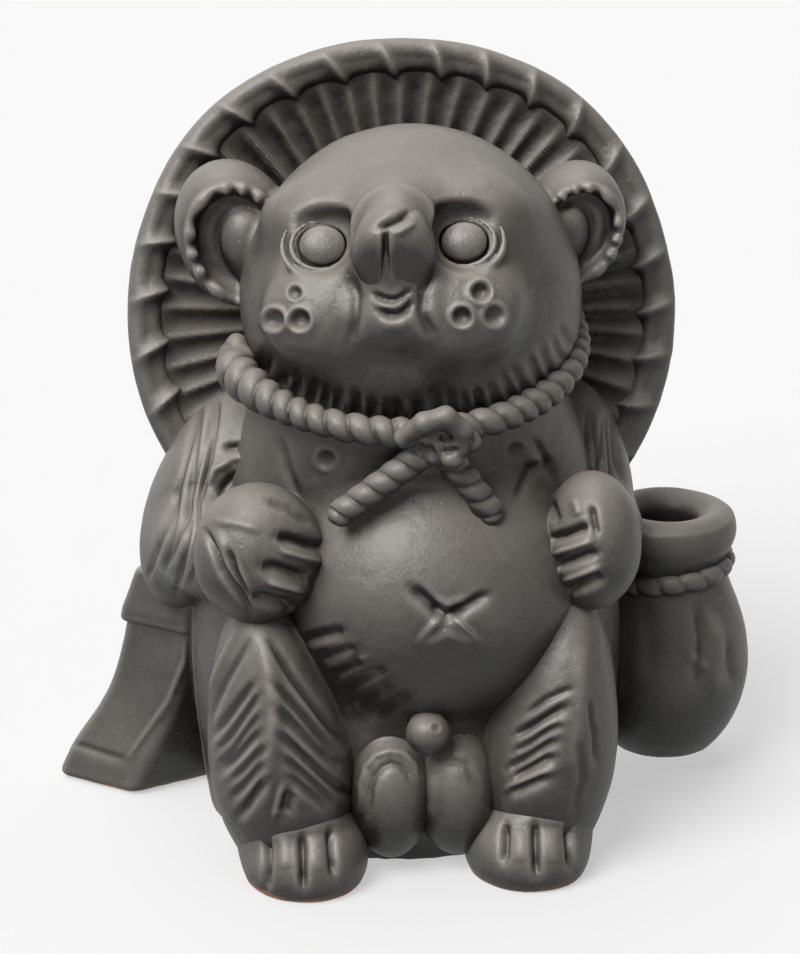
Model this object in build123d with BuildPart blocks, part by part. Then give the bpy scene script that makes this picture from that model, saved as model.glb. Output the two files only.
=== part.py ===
from build123d import *
import math
import os

# A seated tanuki figure of dark glazed red pottery, about 176 mm tall.
# Hollow shells, limbs, ropes, a straw hat, a ledger book and a sake flask are shaped from clay
# one by one, luted together with slip and fired as one.
# Millimetres, +Z up, the figure faces -Y, the origin is on the ground under the body.
# Left and right are as a viewer in front of the figure sees them.

# Clay walls and the slip layer in every luted joint
wall = 4.5
floor_thickness = 6.0
vent_radius = 7.0
vent_back = 16.0
slip = 0.25

# Body, a tapering tube of elliptical sections, with a round belly bulging from its front
base_half_width = 46.0
base_half_depth = 38.0
base_y = 4.0
hip_height = 34.0
hip_half_width = 50.0
hip_half_depth = 42.0
hip_y = 2.0
chest_rise = 52.0
chest_half_width = 43.0
chest_half_depth = 38.0
chest_y = -1.0
neck_rise = 21.0
belly_half_width = 36.0
belly_half_depth = 34.0
belly_half_height = 33.0
belly_x = 3.0
belly_rise = 30.0
belly_sink = 19.0

# Head, an upright egg on the neck, turned to the left and looking up
head_half_width = 38.5
head_half_depth = 38.0
head_half_height = 39.5
head_y = -8.0
head_lift = 19.5
face_turn = 12.0
face_pitch = 30.0
face_roll = 3.0
muzzle_half_width = 12.0
muzzle_half_height = 12.5
muzzle_half_depth = 14.0
muzzle_proud = 9.0
muzzle_up = 4.0
nose_half_width = 8.0
nose_half_height = 7.5
nose_half_depth = 7.0
nose_proud = 3.0
nose_up = 2.0
eye_radius = 5.4
eye_spread = 15.6
eye_shift = -1.0
eye_up = 5.0
eye_proud = 2.2
mouth_half_width = 12.5
mouth_half_height = 9.5
mouth_half_depth = 8.0
mouth_proud = 3.2
mouth_drop = 10.0
cheek_half_width = 11.5
cheek_half_height = 10.5
cheek_half_depth = 8.0
cheek_proud = 2.8
cheek_spread = 18.0
cheek_drop = 9.0
brow_half_width = 12.5
brow_half_height = 6.0
brow_half_depth = 6.0
brow_proud = 2.2
brow_spread = 16.5
brow_up = 15.0

# Ears, round flaps on the sides of the head
left_ear_half_width = 13.5
left_ear_half_height = 17.0
right_ear_half_width = 11.5
right_ear_half_height = 14.0
ear_half_depth = 17.0
ear_proud = 0.0
ear_back = 12.0
ear_up = 13.2
ear_lean = 18.0

# Straw hat hung behind the head, a shallow dish with a bound rim, leaning back
hat_radius = 63.7
hat_x = 0.8
hat_rim_radius = 4.4
hat_depth = 12.0
hat_thickness = 5.0
hat_peak = 11.0
hat_rib_count = 53
hat_rib_rise = 0.6
hat_lean = 15.0
hat_back = 23.0
hat_drop = 11.25

# Rope under the chin, its knot and its two tails
rope_radius = 3.4
rope_ring_radius = 40.0
rope_x = -2.5
rope_back = 1.5
rope_drop = 9.0
rope_tilt = 14.0
rope_arc = 200.0
knot_radius = 5.5
knot_half_length = 6.5
knot_edge = 2.5
knot_x = 4.0
knot_proud = 1.5
knot_down = 1.5
left_tail_half_length = 13.5
left_tail_spread = 50.0
right_tail_half_length = 11.0
right_tail_spread = 34.0
tail_radius = 3.5
tail_proud = 2.2

# Arms, upper arms along the flanks, forearms reaching forward, and paws on the belly
arm_half_width = 13.0
arm_half_depth = 18.0
arm_half_height = 27.0
arm_drop = 10.0
arm_y = 3.0
left_arm_out = 3.0
left_arm_lean = 22.0
right_arm_out = -3.0
right_arm_lean = 8.0
fore_half_width = 11.5
fore_half_length = 23.0
fore_half_height = 12.0
fore_front = 20.0
fore_drop = 4.0
fore_rise = 14.0
fore_turn = 22.0
left_paw_half_width = 14.5
left_paw_out = 4.0
right_paw_half_width = 11.0
right_paw_out = -1.0
paw_half_depth = 13.5
paw_half_height = 16.0
paw_front = 14.0
paw_rise = 13.0

# Legs with the knees drawn up, and the feet in front of them
leg_half_width = 17.5
leg_half_depth = 20.0
leg_half_height = 36.0
leg_height = 30.0
leg_inset = 19.0
leg_sink = 8.0
leg_splay = 8.0
foot_half_width = 14.5
foot_half_depth = 17.0
foot_half_height = 12.5
foot_height = 5.0
foot_inset = 24.5
foot_front = 1.0
legs_shift = -2.0

# Pouch of two lobes between the feet, with a knob above it
lobe_half_width = 8.6
lobe_half_depth = 11.0
lobe_half_height = 14.0
lobe_height = 16.5
lobe_spread = 7.2
lobe_sink = 4.0
pouch_x = 0.0
knob_radius = 5.0
knob_height = 36.0
knob_front = 5.0

# Ledger book hanging at the left hip, slanting out to its foot, with a paper band round its head
ledger_foot_width = 21.0
ledger_head_width = 16.0
ledger_thickness = 18.0
ledger_turn = -37.0
ledger_side_lean = 13.0
ledger_side_run = 25.0
ledger_height = 60.0
ledger_foot_out = 17.0
ledger_foot_y = 22.0
ledger_head_out = -2.0
ledger_head_y = 14.3
ledger_edge = 1.6
band_foot_height = 42.0
band_head_height = 57.0
band_proud = 1.2

# Sake flask at the right hip, hollow, with a cord round its neck
flask_out = 13.5
flask_y = 15.0
flask_foot_height = 6.0
flask_foot_radius = 12.0
flask_belly_rise = 22.0
flask_belly_radius = 19.6
flask_neck_rise = 23.0
flask_neck_radius = 13.8
flask_lip_rise = 8.0
flask_lip_radius = 16.6
flask_top_rise = 6.5
flask_bore_radius = 7.1
cord_radius = 2.7

# Short brush tail low on the back
brush_half_width = 12.0
brush_half_depth = 10.0
brush_half_height = 20.0
brush_height = 22.0

# The poles of every egg are turned off its axes, clear of the lines where pieces meet
egg_poles = (35, 20, 50)

os.makedirs("parts", exist_ok=True)
sides = (("left", -1), ("right", 1))


def egg(centre, radii, turn=(0, 0, 0), grow=0.0):
    """A solid egg of three half sizes about centre, turned about X, Y and Z, swollen by grow."""
    with BuildPart() as ball:
        Sphere(1, rotation=egg_poles)
        scale(by=tuple(radius + grow for radius in radii))
    return ball.part.moved(Location(centre, turn))


def ring(plane, ring_radius, cord, arc=360):
    """A round cord bent into a ring on plane, or into an arc of it that starts at the plane's x."""
    with BuildPart(plane) as loop:
        Torus(ring_radius, cord, major_angle=arc, align=None)
    return loop.part


def cut_by(*cutters):
    """Cuts the part being built by its neighbours."""
    for cutter in cutters:
        add(cutter, clean=False, mode=Mode.SUBTRACT)


# Each part of the body stands on the one below it
chest_height = hip_height + chest_rise
neck_height = chest_height + neck_rise

# The neck is as wide as the head is at that height, so the two rims meet
neck_share = math.sqrt(1 - (head_lift / head_half_height) ** 2)
neck_half_width = head_half_width * neck_share
neck_half_depth = head_half_depth * neck_share
neck_front_y = head_y - neck_half_depth
body_sections = (
    (0, base_half_width, base_half_depth, base_y),
    (hip_height, hip_half_width, hip_half_depth, hip_y),
    (chest_height, chest_half_width, chest_half_depth, chest_y),
    (neck_height, neck_half_width, neck_half_depth, head_y),
)
hip_front_y = hip_y - hip_half_depth
belly_centre = Vector(belly_x, hip_front_y + belly_sink, hip_height + belly_rise)


def body_form(grow=0.0):
    """The body's tube as a solid, swollen by grow, or drawn in where grow is negative."""
    with BuildPart() as form:
        for height, half_width, half_depth, centre_y in body_sections:
            with BuildSketch(Plane.XY.offset(height)):
                with Locations((0, centre_y)):
                    Ellipse(half_depth + grow, half_width + grow, rotation=90)
        loft()
    return form.part


def trunk_form(grow=0.0):
    """Body and belly together as one solid."""
    tube = body_form(grow)
    belly = egg(belly_centre, (belly_half_width, belly_half_depth, belly_half_height), grow=grow)
    with BuildPart() as form:
        add(tube, clean=False)
        add(belly, clean=False)
    return form.part


# Body shells, front and back halves that part along the flanks
trunk_solid = trunk_form()
trunk_hollow = trunk_form(-wall)
trunk_cutter = trunk_form(slip)
for half, keep, seam_y in (("front", Keep.TOP, -slip / 2), ("back", Keep.BOTTOM, slip / 2)):
    with BuildPart() as body_shell:
        add(trunk_solid)
        cut_by(trunk_hollow)
        split(bisect_by=Plane.XZ.offset(-seam_y), keep=keep)
    body_shell.part.label = f"{half}_body_shell"
    export_step(body_shell.part, f"parts/{half}_body_shell.step")

# Floor slab let into the foot of the shells, with the vent that lets the kiln's steam out
floor_plug = body_form(-wall - slip)
with BuildPart() as base_slab:
    add(floor_plug)
    split(bisect_by=Plane.XY.offset(floor_thickness), keep=Keep.BOTTOM)
    with BuildSketch(Plane.XY):
        with Locations((0, base_y + vent_back)):
            Circle(vent_radius)
    extrude(amount=floor_thickness, mode=Mode.SUBTRACT)
base_slab.part.label = "base_slab"
export_step(base_slab.part, "parts/base_slab.step")

# The face plane looks out of the head, with its x across the face and its y up it
head_centre = Vector(0, head_y, neck_height + head_lift)
head_radii = (head_half_width, head_half_depth, head_half_height)
face = Plane(
    Location(head_centre)
    * Rotation(0, 0, -face_turn)
    * Rotation(90 - face_pitch, 0, 0)
    * Rotation(0, 0, face_roll)
)
face_turns = tuple(face.location.orientation)


def on_face(across, up, proud):
    """A point over the face, found on the head's egg along the face's own direction."""
    foot = face.from_local_coords((across, up, 0)) - head_centre
    foot_share = Vector(*(length / radius for length, radius in zip(tuple(foot), head_radii)))
    ahead_share = Vector(*(length / radius for length, radius in zip(tuple(face.z_dir), head_radii)))
    square = ahead_share.dot(ahead_share)
    half = foot_share.dot(ahead_share) / square
    reach = math.sqrt(half**2 - (foot_share.dot(foot_share) - 1) / square) - half
    return head_centre + foot + face.z_dir * (reach + proud)


# Lumps pressed on the face below the muzzle, on the cheeks and over the eyes
mouth_radii = (mouth_half_width, mouth_half_height, mouth_half_depth)
cheek_radii = (cheek_half_width, cheek_half_height, cheek_half_depth)
brow_radii = (brow_half_width, brow_half_height, brow_half_depth)
lumps = [(on_face(0, -mouth_drop, mouth_proud - mouth_half_depth), mouth_radii)]
for name, side in sides:
    cheek_x = eye_shift + side * cheek_spread
    brow_x = eye_shift + side * brow_spread
    lumps.append((on_face(cheek_x, -cheek_drop, cheek_proud - cheek_half_depth), cheek_radii))
    lumps.append((on_face(brow_x, brow_up, brow_proud - brow_half_depth), brow_radii))


def head_form(grow=0.0):
    """The head with its muzzle and lumps as a solid, cut flat at the neck."""
    skull = egg(head_centre, head_radii, grow=grow)
    muzzle = egg(
        on_face(0, muzzle_up, muzzle_proud - muzzle_half_depth),
        (muzzle_half_width, muzzle_half_height, muzzle_half_depth),
        face_turns,
        grow,
    )
    with BuildPart() as form:
        add(skull, clean=False)
        add(muzzle, clean=False)
        for lump in lumps:
            add(egg(lump[0], lump[1], face_turns, grow), clean=False)
        split(bisect_by=Plane.XY.offset(neck_height - grow), keep=Keep.TOP)
    return form.part


# Head shell, open at the neck, with a socket for each eye
head_solid = head_form()
head_hollow = egg(head_centre, head_radii, grow=-wall)
head_cutter = head_form(slip)
eye_seats = [on_face(eye_shift + side * eye_spread, eye_up, eye_proud - eye_radius) for name, side in sides]
with BuildPart() as head_shell:
    add(head_solid)
    cut_by(head_hollow)
    with Locations(*eye_seats):
        Sphere(eye_radius + slip, mode=Mode.SUBTRACT)
head_shell.part.label = "head_shell"
export_step(head_shell.part, "parts/head_shell.step")

# Eyes, round pellets pressed into the sockets
for (name, side), seat in zip(sides, eye_seats):
    with BuildPart() as eye:
        with Locations(seat):
            Sphere(eye_radius)
    eye.part.label = f"{name}_eye"
    export_step(eye.part, f"parts/{name}_eye.step")

# Nose, a blunt wedge on the end of the muzzle
nose_form = egg(
    on_face(0, nose_up, muzzle_proud + nose_proud - nose_half_depth),
    (nose_half_width, nose_half_height, nose_half_depth),
    face_turns,
)
with BuildPart() as nose:
    add(nose_form)
    cut_by(head_cutter)
nose.part.label = "nose"
export_step(nose.part, "parts/nose.step")


def arm_form(side, grow=0.0):
    """Upper arm along the flank and forearm reaching forward to the paw, as one solid."""
    out, lean = (left_arm_out, left_arm_lean) if side < 0 else (right_arm_out, right_arm_lean)
    arm_x = side * (chest_half_width + out)
    arm_height = chest_height - arm_drop
    upper = egg(
        (arm_x, arm_y, arm_height),
        (arm_half_width, arm_half_depth, arm_half_height),
        (0, -side * lean, 0),
        grow,
    )
    fore = egg(
        (arm_x, arm_y - fore_front, arm_height - fore_drop),
        (fore_half_width, fore_half_length, fore_half_height),
        (-fore_rise, 0, -side * fore_turn),
        grow,
    )
    with BuildPart() as form:
        add(upper, clean=False)
        add(fore, clean=False)
    return form.part


def paw_form(side, grow=0.0):
    """A paw as a solid, at its own side of the belly."""
    half_width = left_paw_half_width if side < 0 else right_paw_half_width
    out = left_paw_out if side < 0 else right_paw_out
    centre = belly_centre + Vector(side * (belly_half_width + out), -paw_front, paw_rise)
    return egg(centre, (half_width, paw_half_depth, paw_half_height), grow=grow)


# Flask, turned on a wheel and hollowed, with a groove for its cord
flask_belly_height = flask_foot_height + flask_belly_rise
flask_neck_height = flask_belly_height + flask_neck_rise
flask_lip_height = flask_neck_height + flask_lip_rise
flask_top_height = flask_lip_height + flask_top_rise
flask_x = hip_half_width + flask_out
flask_axis = Axis((flask_x, flask_y, 0), (0, 0, 1))
flask_section = Plane(origin=(flask_x, flask_y, 0), x_dir=(1, 0, 0), z_dir=(0, -1, 0))
cord_plane = Plane((flask_x, flask_y, flask_neck_height))


def flask_form(grow=0.0):
    """The flask's outside as a solid of revolution."""
    with BuildPart() as form:
        with BuildSketch(flask_section):
            with BuildLine():
                Spline(
                    (flask_foot_radius + grow, flask_foot_height - grow),
                    (flask_belly_radius + grow, flask_belly_height),
                    (flask_neck_radius + grow, flask_neck_height),
                    (flask_lip_radius + grow, flask_lip_height),
                    (flask_bore_radius + wall + grow, flask_top_height + grow),
                    tangents=((1, 0.4), (-1, 0.25)),
                )
                Polyline(
                    (flask_bore_radius + wall + grow, flask_top_height + grow),
                    (0, flask_top_height + grow),
                    (0, flask_foot_height - grow),
                    (flask_foot_radius + grow, flask_foot_height - grow),
                )
            make_face()
        revolve(axis=flask_axis)
    return form.part


cord_cutter = ring(cord_plane, flask_neck_radius, cord_radius + slip)
flask_solid = flask_form()
flask_cutter = flask_form(slip)
flask_hollow = egg(
    (flask_x, flask_y, flask_belly_height),
    (flask_belly_radius, flask_belly_radius, flask_belly_height - flask_foot_height),
    grow=-wall,
)
with BuildPart() as flask:
    add(flask_solid)
    cut_by(trunk_cutter, flask_hollow)
    with BuildSketch(Plane.XY.offset(flask_belly_height)):
        with Locations((flask_x, flask_y)):
            Circle(flask_bore_radius)
    extrude(amount=flask_top_height - flask_belly_height, mode=Mode.SUBTRACT)
    cut_by(cord_cutter)
flask.part.label = "flask"
export_step(flask.part, "parts/flask.step")

cord_solid = ring(cord_plane, flask_neck_radius, cord_radius)
with BuildPart() as flask_cord:
    add(cord_solid)
    cut_by(trunk_cutter)
flask_cord.part.label = "flask_cord"
export_step(flask_cord.part, "parts/flask_cord.step")

# Arms, luted to the flanks
for name, side in sides:
    arm_solid = arm_form(side)
    with BuildPart() as arm:
        add(arm_solid)
        cut_by(trunk_cutter, flask_cutter)
    arm.part.label = f"{name}_arm"
    export_step(arm.part, f"parts/{name}_arm.step")

# Paws, laid on the belly at the ends of the forearms
arm_cutters = [arm_form(side, slip) for name, side in sides]
for (name, side), arm_cutter in zip(sides, arm_cutters):
    paw_solid = paw_form(side)
    with BuildPart() as paw:
        add(paw_solid)
        cut_by(trunk_cutter, arm_cutter)
    paw.part.label = f"{name}_paw"
    export_step(paw.part, f"parts/{name}_paw.step")

# Straw hat, cut where the head, the body and the arms come through it
hat_centre = head_centre + Vector(hat_x, hat_back, -hat_drop)
hat_plane = Plane(Location(hat_centre, (90 - hat_lean, 0, 0)))
hat_section = Plane(origin=hat_centre, x_dir=hat_plane.x_dir, z_dir=-hat_plane.y_dir)
hat_ring_radius = hat_radius - hat_rim_radius


def hat_form(grow=0.0):
    """The hat's dish as a plain cone, hollow towards the head and pointed behind."""
    with BuildPart() as form:
        with BuildSketch(hat_section):
            with BuildLine():
                Polyline(
                    (0, grow - hat_depth),
                    (hat_ring_radius, grow),
                    (hat_ring_radius, -hat_thickness - grow),
                    (0, -hat_depth - hat_peak - grow),
                    close=True,
                )
            make_face()
        revolve(axis=Axis(hat_centre, hat_plane.z_dir))
    return form.part


def ribbed_cone(rim_drop, peak_drop):
    """A cone through the ring at one depth to a peak, pleated by straight ribs."""
    base_radius = hat_ring_radius * peak_drop / (peak_drop - rim_drop)
    rib_swing = hat_rib_rise * base_radius / peak_drop
    rim_points = []
    for step in range(2 * hat_rib_count):
        reach = base_radius + (rib_swing if step % 2 else -rib_swing)
        angle = math.pi * step / hat_rib_count
        rim_points.append((reach * math.cos(angle), reach * math.sin(angle)))
    with BuildPart() as form:
        with BuildSketch(hat_plane) as rim_sketch:
            with BuildLine():
                Polyline(*rim_points, close=True)
            make_face()
        loft([rim_sketch.sketch.face(), Vertex(*hat_plane.offset(-peak_drop).origin)])
    return form.part


hat_outside = ribbed_cone(hat_thickness, hat_depth + hat_peak)
hat_hollow = ribbed_cone(0, hat_depth)
hat_cutter = hat_form(hat_rib_rise + slip)
rim_plane = hat_plane.offset(-hat_thickness / 2)
rim_solid = ring(rim_plane, hat_ring_radius, hat_rim_radius)
with BuildPart() as hat_dish:
    with BuildSketch(hat_plane):
        Circle(hat_ring_radius - hat_rim_radius - slip)
    extrude(amount=-hat_depth - hat_peak)
    add(hat_outside, mode=Mode.INTERSECT)
    cut_by(hat_hollow, head_cutter, trunk_cutter, *arm_cutters)
hat_dish.part.label = "hat_dish"
export_step(hat_dish.part, "parts/hat_dish.step")

with BuildPart() as hat_rim:
    add(rim_solid)
    cut_by(trunk_cutter, *arm_cutters)
hat_rim.part.label = "hat_rim"
export_step(hat_rim.part, "parts/hat_rim.step")

# Chin rope, two coils of clay from the cheeks to the knot on the chest
rope_centre = head_centre + Vector(rope_x, rope_back, -rope_drop)
rope_plane = Plane(Location(rope_centre, (rope_tilt, 0, 0)))
rope_start = Plane(rope_plane.location * Rotation(0, 0, -90 - rope_arc / 2))
rope_solid = ring(rope_start, rope_ring_radius, rope_radius, rope_arc)
rope_front = rope_plane.from_local_coords((0, -rope_ring_radius, 0))
knot_centre = rope_front + Vector(knot_x, -knot_proud, -knot_down)
for name, side in sides:
    with BuildPart() as rope:
        add(rope_solid)
        cut_by(head_cutter, trunk_cutter)
        seam = Plane.YZ.offset(knot_centre.X + side * (knot_half_length + slip))
        split(bisect_by=seam, keep=Keep.TOP if side > 0 else Keep.BOTTOM)
    rope.part.label = f"chin_rope_{name}"
    export_step(rope.part, f"parts/chin_rope_{name}.step")


# Knot, a barrel of clay between the two ends of the rope
def knot_form(grow=0.0):
    """The knot as a short barrel with soft ends, lying across the chest."""
    with BuildPart() as form:
        with Locations(knot_centre):
            Cylinder(knot_radius + grow, 2 * (knot_half_length + grow), rotation=(0, 90, 0))
        fillet(form.edges().filter_by(GeomType.CIRCLE), radius=knot_edge)
    return form.part


knot_solid = knot_form()
knot_cutter = knot_form(slip)
with BuildPart() as rope_knot:
    add(knot_solid)
    cut_by(head_cutter, trunk_cutter)
rope_knot.part.label = "rope_knot"
export_step(rope_knot.part, "parts/rope_knot.step")

# Tails of the rope, lying on the chest below the knot
tail_sizes = (
    (left_tail_half_length, left_tail_spread),
    (right_tail_half_length, right_tail_spread),
)
for (name, side), (half_length, spread) in zip(sides, tail_sizes):
    reach = Vector(0, 0, -half_length).rotate(Axis.Y, -side * spread)
    tail_centre = Vector(knot_centre.X, neck_front_y - tail_proud, knot_centre.Z) + reach
    tail_form = egg(tail_centre, (tail_radius, tail_radius, half_length), (0, -side * spread, 0))
    with BuildPart() as rope_tail:
        add(tail_form)
        cut_by(knot_cutter, trunk_cutter)
    rope_tail.part.label = f"rope_tail_{name}"
    export_step(rope_tail.part, f"parts/rope_tail_{name}.step")

# Ears, luted to the sides of the head
ear_sizes = (
    (left_ear_half_width, ear_half_depth, left_ear_half_height),
    (right_ear_half_width, ear_half_depth, right_ear_half_height),
)
for (name, side), ear_radii in zip(sides, ear_sizes):
    ear_centre = head_centre + Vector(side * (head_half_width + ear_proud), ear_back, ear_up)
    ear_form = egg(ear_centre, ear_radii, (0, side * ear_lean, 0))
    with BuildPart() as ear:
        add(ear_form)
        cut_by(head_cutter, hat_cutter)
    ear.part.label = f"{name}_ear"
    export_step(ear.part, f"parts/{name}_ear.step")


# Legs, knees up on both sides of the belly, standing on the ground
def leg_form(side, grow=0.0):
    centre = (side * (hip_half_width - leg_inset) + legs_shift, hip_front_y + leg_sink, leg_height)
    return egg(centre, (leg_half_width, leg_half_depth, leg_half_height), (0, side * leg_splay, 0), grow)


def foot_form(side, grow=0.0):
    centre = (side * (hip_half_width - foot_inset) + legs_shift, hip_front_y + foot_front, foot_height)
    return egg(centre, (foot_half_width, foot_half_depth, foot_half_height), grow=grow)


paw_cutters = [paw_form(side, slip) for name, side in sides]
for (name, side), paw_cutter, arm_cutter in zip(sides, paw_cutters, arm_cutters):
    leg_solid = leg_form(side)
    with BuildPart() as leg:
        add(leg_solid)
        cut_by(trunk_cutter, paw_cutter, arm_cutter)
        split(bisect_by=Plane.XY, keep=Keep.TOP)
    leg.part.label = f"{name}_leg"
    export_step(leg.part, f"parts/{name}_leg.step")

# Feet, pads luted to the front of the legs
leg_cutters = [leg_form(side, slip) for name, side in sides]
for (name, side), leg_cutter in zip(sides, leg_cutters):
    foot_solid = foot_form(side)
    with BuildPart() as foot:
        add(foot_solid)
        cut_by(leg_cutter, trunk_cutter)
        split(bisect_by=Plane.XY, keep=Keep.TOP)
    foot.part.label = f"{name}_foot"
    export_step(foot.part, f"parts/{name}_foot.step")

# Pouch lobes and the knob over them
foot_cutters = [foot_form(side, slip) for name, side in sides]
for name, side in sides:
    lobe_centre = (pouch_x + side * lobe_spread, hip_front_y + lobe_sink, lobe_height)
    lobe_form = egg(lobe_centre, (lobe_half_width, lobe_half_depth, lobe_half_height))
    seam = Plane.YZ.offset(pouch_x + side * slip / 2)
    with BuildPart() as pouch:
        add(lobe_form)
        cut_by(trunk_cutter, *leg_cutters, *foot_cutters)
        split(bisect_by=seam, keep=Keep.TOP if side > 0 else Keep.BOTTOM)
    pouch.part.label = f"pouch_{name}"
    export_step(pouch.part, f"parts/pouch_{name}.step")

with BuildPart() as pouch_knob:
    with Locations((pouch_x, hip_front_y - knob_front, knob_height)):
        Sphere(knob_radius)
    cut_by(trunk_cutter)
pouch_knob.part.label = "pouch_knob"
export_step(pouch_knob.part, "parts/pouch_knob.step")


# Ledger book, a slanting slab of pages, and the paper band round its head
def ledger_form(bottom, top, proud=0.0):
    """The slab between two heights, proud of the pages, its right side run back to the flank."""
    ledger_side_back = ledger_side_run - ledger_thickness / 2
    with BuildPart() as form:
        for height in (bottom, top):
            share = height / ledger_height
            out = ledger_foot_out + (ledger_head_out - ledger_foot_out) * share
            y = ledger_foot_y + (ledger_head_y - ledger_foot_y) * share
            width = ledger_foot_width + (ledger_head_width - ledger_foot_width) * share
            with BuildSketch(Plane(Location((-hip_half_width - out, y, height), (0, 0, ledger_turn)))):
                with BuildLine():
                    Polyline(
                        (-width / 2 - proud, -ledger_thickness / 2 - proud),
                        (width / 2 + proud, -ledger_thickness / 2 - proud),
                        (width / 2 + ledger_side_lean + proud, ledger_side_back + proud),
                        (-width / 2 - proud, ledger_thickness / 2 + proud),
                        close=True,
                    )
                make_face()
        loft()
        fillet(form.edges(), radius=ledger_edge)
    return form.part


ledger_solid = ledger_form(0, ledger_height)
ledger_cutter = ledger_form(-slip, ledger_height + slip, slip)
band_solid = ledger_form(band_foot_height, band_head_height, band_proud)
for name, form, others in (
    ("ledger_block", ledger_solid, (trunk_cutter, arm_cutters[0])),
    ("ledger_band", band_solid, (ledger_cutter, trunk_cutter, arm_cutters[0])),
):
    with BuildPart() as ledger:
        add(form)
        cut_by(*others)
    ledger.part.label = name
    export_step(ledger.part, f"parts/{name}.step")

# Brush tail
brush_form = egg(
    (0, hip_y + hip_half_depth, brush_height),
    (brush_half_width, brush_half_depth, brush_half_height),
)
with BuildPart() as brush_tail:
    add(brush_form)
    cut_by(trunk_cutter)
brush_tail.part.label = "brush_tail"
export_step(brush_tail.part, "parts/brush_tail.step")
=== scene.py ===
import itertools
import math

import bpy
import numpy as np
import openvdb
from mathutils import Euler, Matrix, Vector


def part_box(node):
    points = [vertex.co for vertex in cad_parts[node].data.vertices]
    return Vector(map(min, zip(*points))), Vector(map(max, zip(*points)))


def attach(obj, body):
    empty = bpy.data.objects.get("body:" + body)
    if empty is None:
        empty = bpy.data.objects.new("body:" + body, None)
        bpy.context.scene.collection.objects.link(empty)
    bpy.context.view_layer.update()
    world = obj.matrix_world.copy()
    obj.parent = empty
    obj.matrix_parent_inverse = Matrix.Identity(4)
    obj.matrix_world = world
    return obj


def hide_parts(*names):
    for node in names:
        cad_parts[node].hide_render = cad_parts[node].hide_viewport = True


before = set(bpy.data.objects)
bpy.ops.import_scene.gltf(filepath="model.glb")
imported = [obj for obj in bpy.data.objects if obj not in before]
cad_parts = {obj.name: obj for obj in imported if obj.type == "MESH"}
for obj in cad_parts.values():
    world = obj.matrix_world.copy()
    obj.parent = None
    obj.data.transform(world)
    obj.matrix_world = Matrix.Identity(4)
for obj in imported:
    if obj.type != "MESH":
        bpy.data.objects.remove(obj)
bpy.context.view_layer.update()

# Camera
# The figure is looked at from a little left of its front and from above, through a long lens,
# so the front of the hat, the upturned face and the tops of the feet are all seen.
view_turn, view_rise = math.radians(-6.0), math.radians(20.0)
view_back = np.array([
    math.sin(view_turn) * math.cos(view_rise),
    -math.cos(view_turn) * math.cos(view_rise),
    math.sin(view_rise),
])
view_right = np.cross(-view_back, [0, 0, 1])
view_right /= np.linalg.norm(view_right)
view_up = np.cross(view_right, -view_back)
view_axes = np.stack([view_right, view_up, view_back], 1)
view_aim = np.array([-1.83, -2.10, 81.73])
view_distance = 1000.0
view_eye = view_aim + view_back * view_distance
picture_wide, picture_high = 800, 954
pixels_at_unit = 4347.8

lens = bpy.data.cameras.new("view")
lens.sensor_width = 36.0
lens.lens = pixels_at_unit * lens.sensor_width / picture_high
lens.clip_end = 50.0
camera = bpy.data.objects.new("view", lens)
bpy.context.scene.collection.objects.link(camera)
camera.matrix_world = Matrix([(*view_axes[i], view_eye[i] / 1000) for i in range(3)] + [(0, 0, 0, 1)])
bpy.context.scene.camera = camera


# Floor slab
# A flat slab of red clay let into the foot of the body and left unglazed, so that it doesn't stick
# to the kiln shelf. A round vent in it lets the steam out in the firing.
def turned(p, centre, turn):
    """Coordinates of p about centre, in axes turned about X, then Y, then Z of the turned piece."""
    lines = Euler([math.radians(angle) for angle in turn], "ZYX").to_matrix()
    x, y, z = (a - c for a, c in zip(p, centre))
    return [lines[0][i] * x + lines[1][i] * y + lines[2][i] * z for i in range(3)]


def egg(p, centre, radii, turn=(0, 0, 0)):
    """Depth, below zero inside, of an egg of three half sizes."""
    q = turned(p, centre, turn)
    share = np.sqrt(sum((a / r) ** 2 for a, r in zip(q, radii)))
    slope = np.sqrt(sum((a / r ** 2) ** 2 for a, r in zip(q, radii))) + 1e-6
    return share * (share - 1) / slope


def join(one, other, soft):
    """Two lumps of clay pressed into one, with a fillet as wide as soft."""
    near = np.maximum(soft - np.abs(one - other), 0) / soft
    return np.minimum(one, other) - near * near * soft / 4


def carve(one, cutter, soft):
    """A lump with another cut out of it, the edge rounded as wide as soft."""
    return -join(-one, cutter, soft)


def grain(q):
    """Smooth random lumps between -1 and 1, one unit apart."""
    cell = np.floor(q).astype(np.int64)
    ease = q - cell
    ease = ease * ease * (3 - 2 * ease)
    total = np.zeros(len(q))
    for corner in itertools.product((0, 1), repeat=3):
        k = cell + corner
        code = (k[:, 0] * 374761393 + k[:, 1] * 668265263 + k[:, 2] * 2147483647) & 0xFFFFFFFF
        code = ((code ^ (code >> 13)) * 1274126177) & 0xFFFFFFFF
        value = ((code ^ (code >> 16)) & 0xFFFF) / 32767.5 - 1
        weight = np.prod(np.where(corner, ease, 1 - ease), axis=1)
        total += weight * value
    return total


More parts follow.
